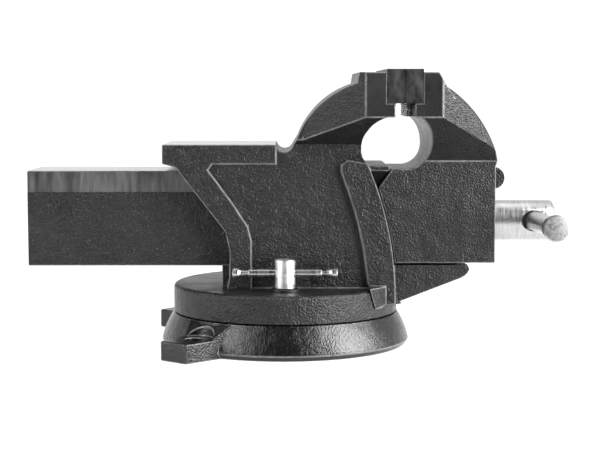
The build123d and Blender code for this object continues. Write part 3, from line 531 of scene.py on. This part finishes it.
threads = int((SHANK_START - spindle_low.x) / PITCH) + 3
tooth = [(0.0, THREAD_ROOT)]
for length, rise in THREAD_PROFILE:
    tooth.append((tooth[-1][0] + length, tooth[-1][1] + rise * (THREAD_CREST - THREAD_ROOT)))
spindle = drawn_line(
    "spindle_screw", Vector((spindle_low.x - PITCH, 0, spindle_axis)), ALONG_X, ALONG_Z, tooth
)
alone(spindle)
screw = spindle.modifiers.new("thread", "SCREW")
screw.axis = "X"
screw.screw_offset = PITCH
screw.iterations = threads
screw.steps = screw.render_steps = 36
screw.use_merge_vertices = True
bpy.ops.object.modifier_apply(modifier=screw.name)
bpy.ops.object.transform_apply(location=True)
for end, outwards in ((spindle_low.x, -1), (SHANK_START + 0.0015, 1)):
    bpy.ops.object.mode_set(mode="EDIT")
    bpy.ops.mesh.select_all(action="SELECT")
    bpy.ops.mesh.remove_doubles(threshold=SEAM_WITHIN)
    bpy.ops.mesh.bisect(
        plane_co=(end, 0, spindle_axis),
        plane_no=(outwards, 0, 0),
        use_fill=True,
        clear_outer=True,
    )
    bpy.ops.object.mode_set(mode="OBJECT")
close_up(spindle)
shank = turned(
    "shank",
    Vector((0, 0, spindle_axis)),
    ALONG_X,
    ALONG_Z,
    [
        (SHANK_START, 0),
        (SHANK_START, THREAD_CREST - 0.0001),
        (SHANK_END, THREAD_CREST - 0.0001),
        (SHANK_END, HEAD_RADIUS - 0.0006),
        (SHANK_END + 0.0006, HEAD_RADIUS),
        (spindle_high.x - 0.0026, HEAD_RADIUS),
        (spindle_high.x - 0.0015, HEAD_RADIUS - 0.0005),
        (spindle_high.x - 0.0006, HEAD_RADIUS - 0.0014),
        (spindle_high.x, HEAD_RADIUS - 0.0028),
        (spindle_high.x, 0),
    ],
)
cut_or_add(spindle, shank, "UNION")
head_centre = Vector((handle_centre.x, 0, spindle_axis))
hole = cross_hole("handle_hole", head_centre, handle_axis, HANDLE_HOLE, 0.0135, 0.02, 0.006)
cut_or_add(spindle, hole, "DIFFERENCE")
settle(spindle)
turned_steel = bright_steel("turned_steel", (0.46, 0.46, 0.46, 1), 0.32, (900, 60, 60), 0.000004)
spindle.data.materials.clear()
spindle.data.materials.append(turned_steel)
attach(spindle, "spindle")
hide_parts("spindle")


# ---------------------------------------------------------------- Handle
# A ground steel bar that slides in the spindle's head, with a turned cap pressed on each
# end, its rim chamfered and its face left with the lathe's facing marks.
BAR_RADIUS = 0.0075
CAP_RADIUS = 0.0099
CAP_LENGTH = 0.010
BAR_HALF = (handle_high - handle_low).y / 2
CAP_END = (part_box("handle_cap_far")[1].y - handle_centre.y) / handle_axis.y
handle_side = handle_axis.cross(ALONG_X)
ground_steel = bright_steel("ground_steel", (0.42, 0.42, 0.42, 1), 0.28, (60, 900, 60), 0.000003)
faced_steel = bright_steel("faced_steel", (0.24, 0.24, 0.24, 1), 0.55, (500, 500, 500), 0.000004)
handle_bar = turned(
    "handle_rod",
    handle_centre,
    handle_axis,
    handle_side,
    [
        (-BAR_HALF, 0),
        (-BAR_HALF, BAR_RADIUS - 0.0006),
        (-BAR_HALF + 0.0006, BAR_RADIUS),
        (BAR_HALF - 0.0006, BAR_RADIUS),
        (BAR_HALF, BAR_RADIUS - 0.0006),
        (BAR_HALF, 0),
    ],
)
handle_bar.data.materials.append(ground_steel)
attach(handle_bar, "handle")
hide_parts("handle_bar")
for place, outwards in (("near", -1), ("far", 1)):
    inner = CAP_END - CAP_LENGTH
    cap = turned(
        f"handle_end_{place}",
        handle_centre,
        handle_axis * outwards,
        handle_side,
        [
            (inner, BAR_RADIUS),
            (inner, CAP_RADIUS - 0.0016),
            (inner + 0.0005, CAP_RADIUS - 0.0006),
            (inner + 0.0016, CAP_RADIUS),
            (CAP_END - 0.0011, CAP_RADIUS),
            (CAP_END - 0.0003, CAP_RADIUS - 0.0004),
            (CAP_END, CAP_RADIUS - 0.0011),
            (CAP_END, 0),
            (CAP_END - 0.002, 0),
            (CAP_END - 0.002, BAR_RADIUS),
            (inner, BAR_RADIUS),
        ],
    )
    cap.data.materials.append(ground_steel)
    cap.data.materials.append(faced_steel)
    for face in cap.data.polygons:
        if face.normal.dot(handle_axis) * outwards > 0.98:
            face.material_index = 1
    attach(cap, "handle")
    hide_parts(f"handle_cap_{place}")


# ---------------------------------------------------------------- Swivel locks
# On each side a barrel nut of polished steel stands on its washer, and a tommy bar with
# upset, cupped ends slides through it. The T-bolt below it runs in the base's groove.
NUT_RADIUS = 0.0078
WASHER_RADIUS = 0.011
WASHER_HOLE = 0.0056
BAR_HOLE = 0.0034
TOMMY_RADIUS = 0.00325
NECK_RADIUS = 0.0021
END_RADIUS = 0.00425
END_LENGTH = 0.008
polished_steel = bright_steel("polished_steel", (0.46, 0.46, 0.46, 1), 0.45, (60, 60, 500), 0.000006)
polished_bar = bright_steel("polished_bar_steel", (0.5, 0.5, 0.5, 1), 0.3, (500, 60, 60), 0.000006)
darkened_steel = bright_steel("darkened_washer_steel", (0.05, 0.05, 0.05, 1), 0.4, (200, 200, 200), 0.00001)
for place in ("front", "back"):
    nut_low, nut_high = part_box(f"lock_nut_{place}")
    bar_low, bar_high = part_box(f"lock_bar_{place}")
    end_low, end_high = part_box(f"lock_bar_ends_{place}")
    washer_low, washer_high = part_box(f"lock_washer_{place}")
    middle = (nut_low + nut_high) / 2
    foot = Vector((middle.x, middle.y, 0))
    nut = turned(
        f"swivel_nut_{place}",
        foot,
        ALONG_Z,
        ALONG_X,
        [
            (nut_low.z, 0),
            (nut_low.z, NUT_RADIUS - 0.0007),
            (nut_low.z + 0.0006, NUT_RADIUS),
            (nut_high.z - 0.0012, NUT_RADIUS),
            (nut_high.z - 0.0004, NUT_RADIUS - 0.0004),
            (nut_high.z, NUT_RADIUS - 0.0012),
            (nut_high.z, 0.003),
            (nut_high.z - 0.0004, 0),
        ],
    )
    bar_line = Vector((middle.x, middle.y, (bar_low.z + bar_high.z) / 2))
    hole = cross_hole("tommy_hole", bar_line, ALONG_X, BAR_HOLE, 0.0066, 0.01, 0.0016, steps=40)
    cut_or_add(nut, hole, "DIFFERENCE")
    settle(nut)
    nut.data.materials.clear()
    nut.data.materials.append(polished_steel)
    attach(nut, f"lock_nut_{place}")
    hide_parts(f"lock_nut_{place}")

    washer = turned(
        f"swivel_washer_{place}",
        foot,
        ALONG_Z,
        ALONG_X,
        [
            (washer_low.z, WASHER_HOLE),
            (washer_low.z, WASHER_RADIUS - 0.0001),
            (washer_low.z + 0.0005, WASHER_RADIUS),
            (washer_high.z - 0.0007, WASHER_RADIUS),
            (washer_high.z, WASHER_RADIUS - 0.0007),
            (washer_high.z, WASHER_HOLE),
            (washer_low.z, WASHER_HOLE),
        ],
    )
    washer.data.materials.append(darkened_steel)
    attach(washer, "swivel_body")
    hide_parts(f"lock_washer_{place}")

    half = (end_high - end_low).x / 2
    shoulder = half - END_LENGTH - 0.004
    tommy = turned(
        f"tommy_bar_{place}",
        bar_line,
        ALONG_X,
        ALONG_Z,
        [
            (-half + 0.001, 0),
            (-half + 0.001, NECK_RADIUS),
            (-shoulder, NECK_RADIUS),
            (-shoulder, TOMMY_RADIUS - 0.0007),
            (-shoulder + 0.0007, TOMMY_RADIUS),
            (shoulder - 0.0007, TOMMY_RADIUS),
            (shoulder, TOMMY_RADIUS - 0.0007),
            (shoulder, NECK_RADIUS),
            (half - 0.001, NECK_RADIUS),
            (half - 0.001, 0),
        ],
        steps=48,
    )
    tommy.data.materials.append(polished_bar)
    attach(tommy, f"lock_bar_{place}")
    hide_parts(f"lock_bar_{place}")
    for end, outwards in (("left", -1), ("right", 1)):
        knob = turned(
            f"tommy_end_{place}_{end}",
            bar_line,
            ALONG_X * outwards,
            ALONG_Z,
            [
                (half - END_LENGTH, NECK_RADIUS),
                (half - END_LENGTH, 0.0027),
                (half - END_LENGTH + 0.0012, 0.0029),
                (half - 0.0048, 0.0034),
                (half - 0.004, END_RADIUS),
                (half - 0.0006, END_RADIUS),
                (half, END_RADIUS - 0.0006),
                (half, 0.0028),
                (half - 0.0008, 0.0022),
                (half - 0.0008, 0),
                (half - 0.001, 0),
                (half - 0.001, NECK_RADIUS),
                (half - END_LENGTH, NECK_RADIUS),
            ],
            steps=48,
        )
        knob.data.materials.append(polished_bar)
        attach(knob, f"lock_bar_{place}")
        if outwards == 1:
            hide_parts(f"lock_bar_ends_{place}")


# ---------------------------------------------------------------- Jaw plates
# Two hardened steel plates, blacked on their ends and screwed to the heads. The gripping
# faces are cut with a diamond pattern of small pyramids.
GRIP_DEPTH = 0.0007
GRIP_ROWS = 12
GRIP_COLUMNS = 70
GRIP_EDGE = 0.0025
GRIP_SIDE = 0.003
HEAD_HOLE = 0.0083
SHANK_HOLE = 0.0053
plate_steel = machined_steel("blacked_steel", (0.075, 0.075, 0.075, 1), 0.44, (160, 160, 60))
grip_steel = machined_steel("grip_steel", (0.3, 0.3, 0.3, 1), 0.36, (200, 200, 200))
for place, body, towards in (("fixed", "swivel_body", -1), ("moving", "moving_jaw", 1)):
    plate_low, plate_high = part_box(f"jaw_plate_{place}")
    middle = (plate_low + plate_high) / 2
    thickness = plate_high.x - plate_low.x
    face_x = plate_high.x if towards < 0 else plate_low.x
    bpy.ops.object.select_all(action="DESELECT")
    bpy.ops.mesh.primitive_grid_add(
        x_subdivisions=GRIP_ROWS,
        y_subdivisions=GRIP_COLUMNS,
        size=1,
        location=(face_x, middle.y, middle.z),
        rotation=(0, math.radians(90) * -towards, 0),
    )
    plate = bpy.context.active_object
    plate.name = plate.data.name = f"jaw_insert_{place}"
    plate.scale = (plate_high.z - plate_low.z, plate_high.y - plate_low.y, 1)
    bpy.ops.object.transform_apply(location=True, rotation=True, scale=True)
    bpy.ops.object.mode_set(mode="EDIT")
    bpy.ops.mesh.select_all(action="SELECT")
    bpy.ops.mesh.extrude_region_move(TRANSFORM_OT_translate={"value": (towards * thickness, 0, 0)})
    bpy.ops.mesh.select_all(action="SELECT")
    bpy.ops.mesh.normals_make_consistent(inside=False)
    bpy.ops.mesh.select_all(action="DESELECT")
    bpy.ops.object.mode_set(mode="OBJECT")
    inner = [
        polygon
        for polygon in plate.data.polygons
        if abs(polygon.normal.x) > 0.9 and abs(polygon.center.x - face_x) < 0.0005
    ]
    for polygon in inner:
        low_edge = polygon.center.z < plate_low.z + GRIP_EDGE or polygon.center.z > plate_high.z - GRIP_EDGE
        side_edge = abs(polygon.center.y) > plate_high.y - GRIP_SIDE
        polygon.select = not (low_edge or side_edge)
    bpy.ops.object.mode_set(mode="EDIT")
    bpy.ops.mesh.select_mode(type="FACE")
    bpy.ops.mesh.inset(thickness=0, depth=-GRIP_DEPTH, use_individual=False)
    bpy.ops.mesh.poke(offset=GRIP_DEPTH)
    bpy.ops.mesh.select_all(action="DESELECT")
    bpy.ops.object.mode_set(mode="OBJECT")
    for y in (-SCREW_Y, SCREW_Y):
        hole = turned(
            "screw_hole",
            Vector((face_x, y, SCREW_Z)),
            ALONG_X * towards,
            ALONG_Z,
            [
                (-0.002, 0),
                (-0.002, HEAD_HOLE),
                (0.01, HEAD_HOLE),
                (0.01, SHANK_HOLE),
                (0.02, SHANK_HOLE),
                (0.02, 0),
            ],
            steps=40,
        )
        cut_or_add(plate, hole, "DIFFERENCE")
    settle(plate, 20)
    plate.data.materials.clear()
    plate.data.materials.append(plate_steel)
    plate.data.materials.append(grip_steel)
    for polygon in plate.data.polygons:
        polygon.material_index = 1 if abs(polygon.center.x - face_x) < 0.0012 else 0
    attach(plate, body)
    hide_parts(f"jaw_plate_{place}")


# ---------------------------------------------------------------- Carried-over parts
# What is seen only when the vise is opened or turned over keeps its plain machined shape:
# screws in black oxide, washers and collar in plain steel, and the nut in cast bronze.
OXIDE = (0.035, 0.035, 0.035, 1)
oxide_steel = machined_steel("black_oxide_steel", OXIDE, 0.4, (300, 300, 300))
plain_steel = machined_steel("plain_steel", (0.42, 0.42, 0.42, 1), 0.34, (120, 500, 500))
nut_bronze = cast_enamel("cast_bronze", (0.36, 0.24, 0.11, 1), 0.42, 0.0003, 0.5)
nut_bronze.node_tree.nodes["Principled BSDF"].inputs["Metallic"].default_value = 1.0
CARRIED = (
    (oxide_steel, ("jaw_screws_fixed", "jaw_screws_moving", "pivot_bolt", "nut_bolts")),
    (oxide_steel, ("lock_bolt_front", "lock_bolt_back", "pipe_jaw_screws_fixed", "pipe_jaw_screws_moving")),
    (plain_steel, ("pipe_jaw_fixed", "pipe_jaw_moving", "pivot_washer", "thrust_washer")),
    (plain_steel, ("retaining_collar", "collar_washer", "collar_pin")),
    (nut_bronze, ("spindle_nut",)),
)
for finish, nodes in CARRIED:
    for node in nodes:
        frame["nodes"][node].data.materials.clear()
        frame["nodes"][node].data.materials.append(finish)
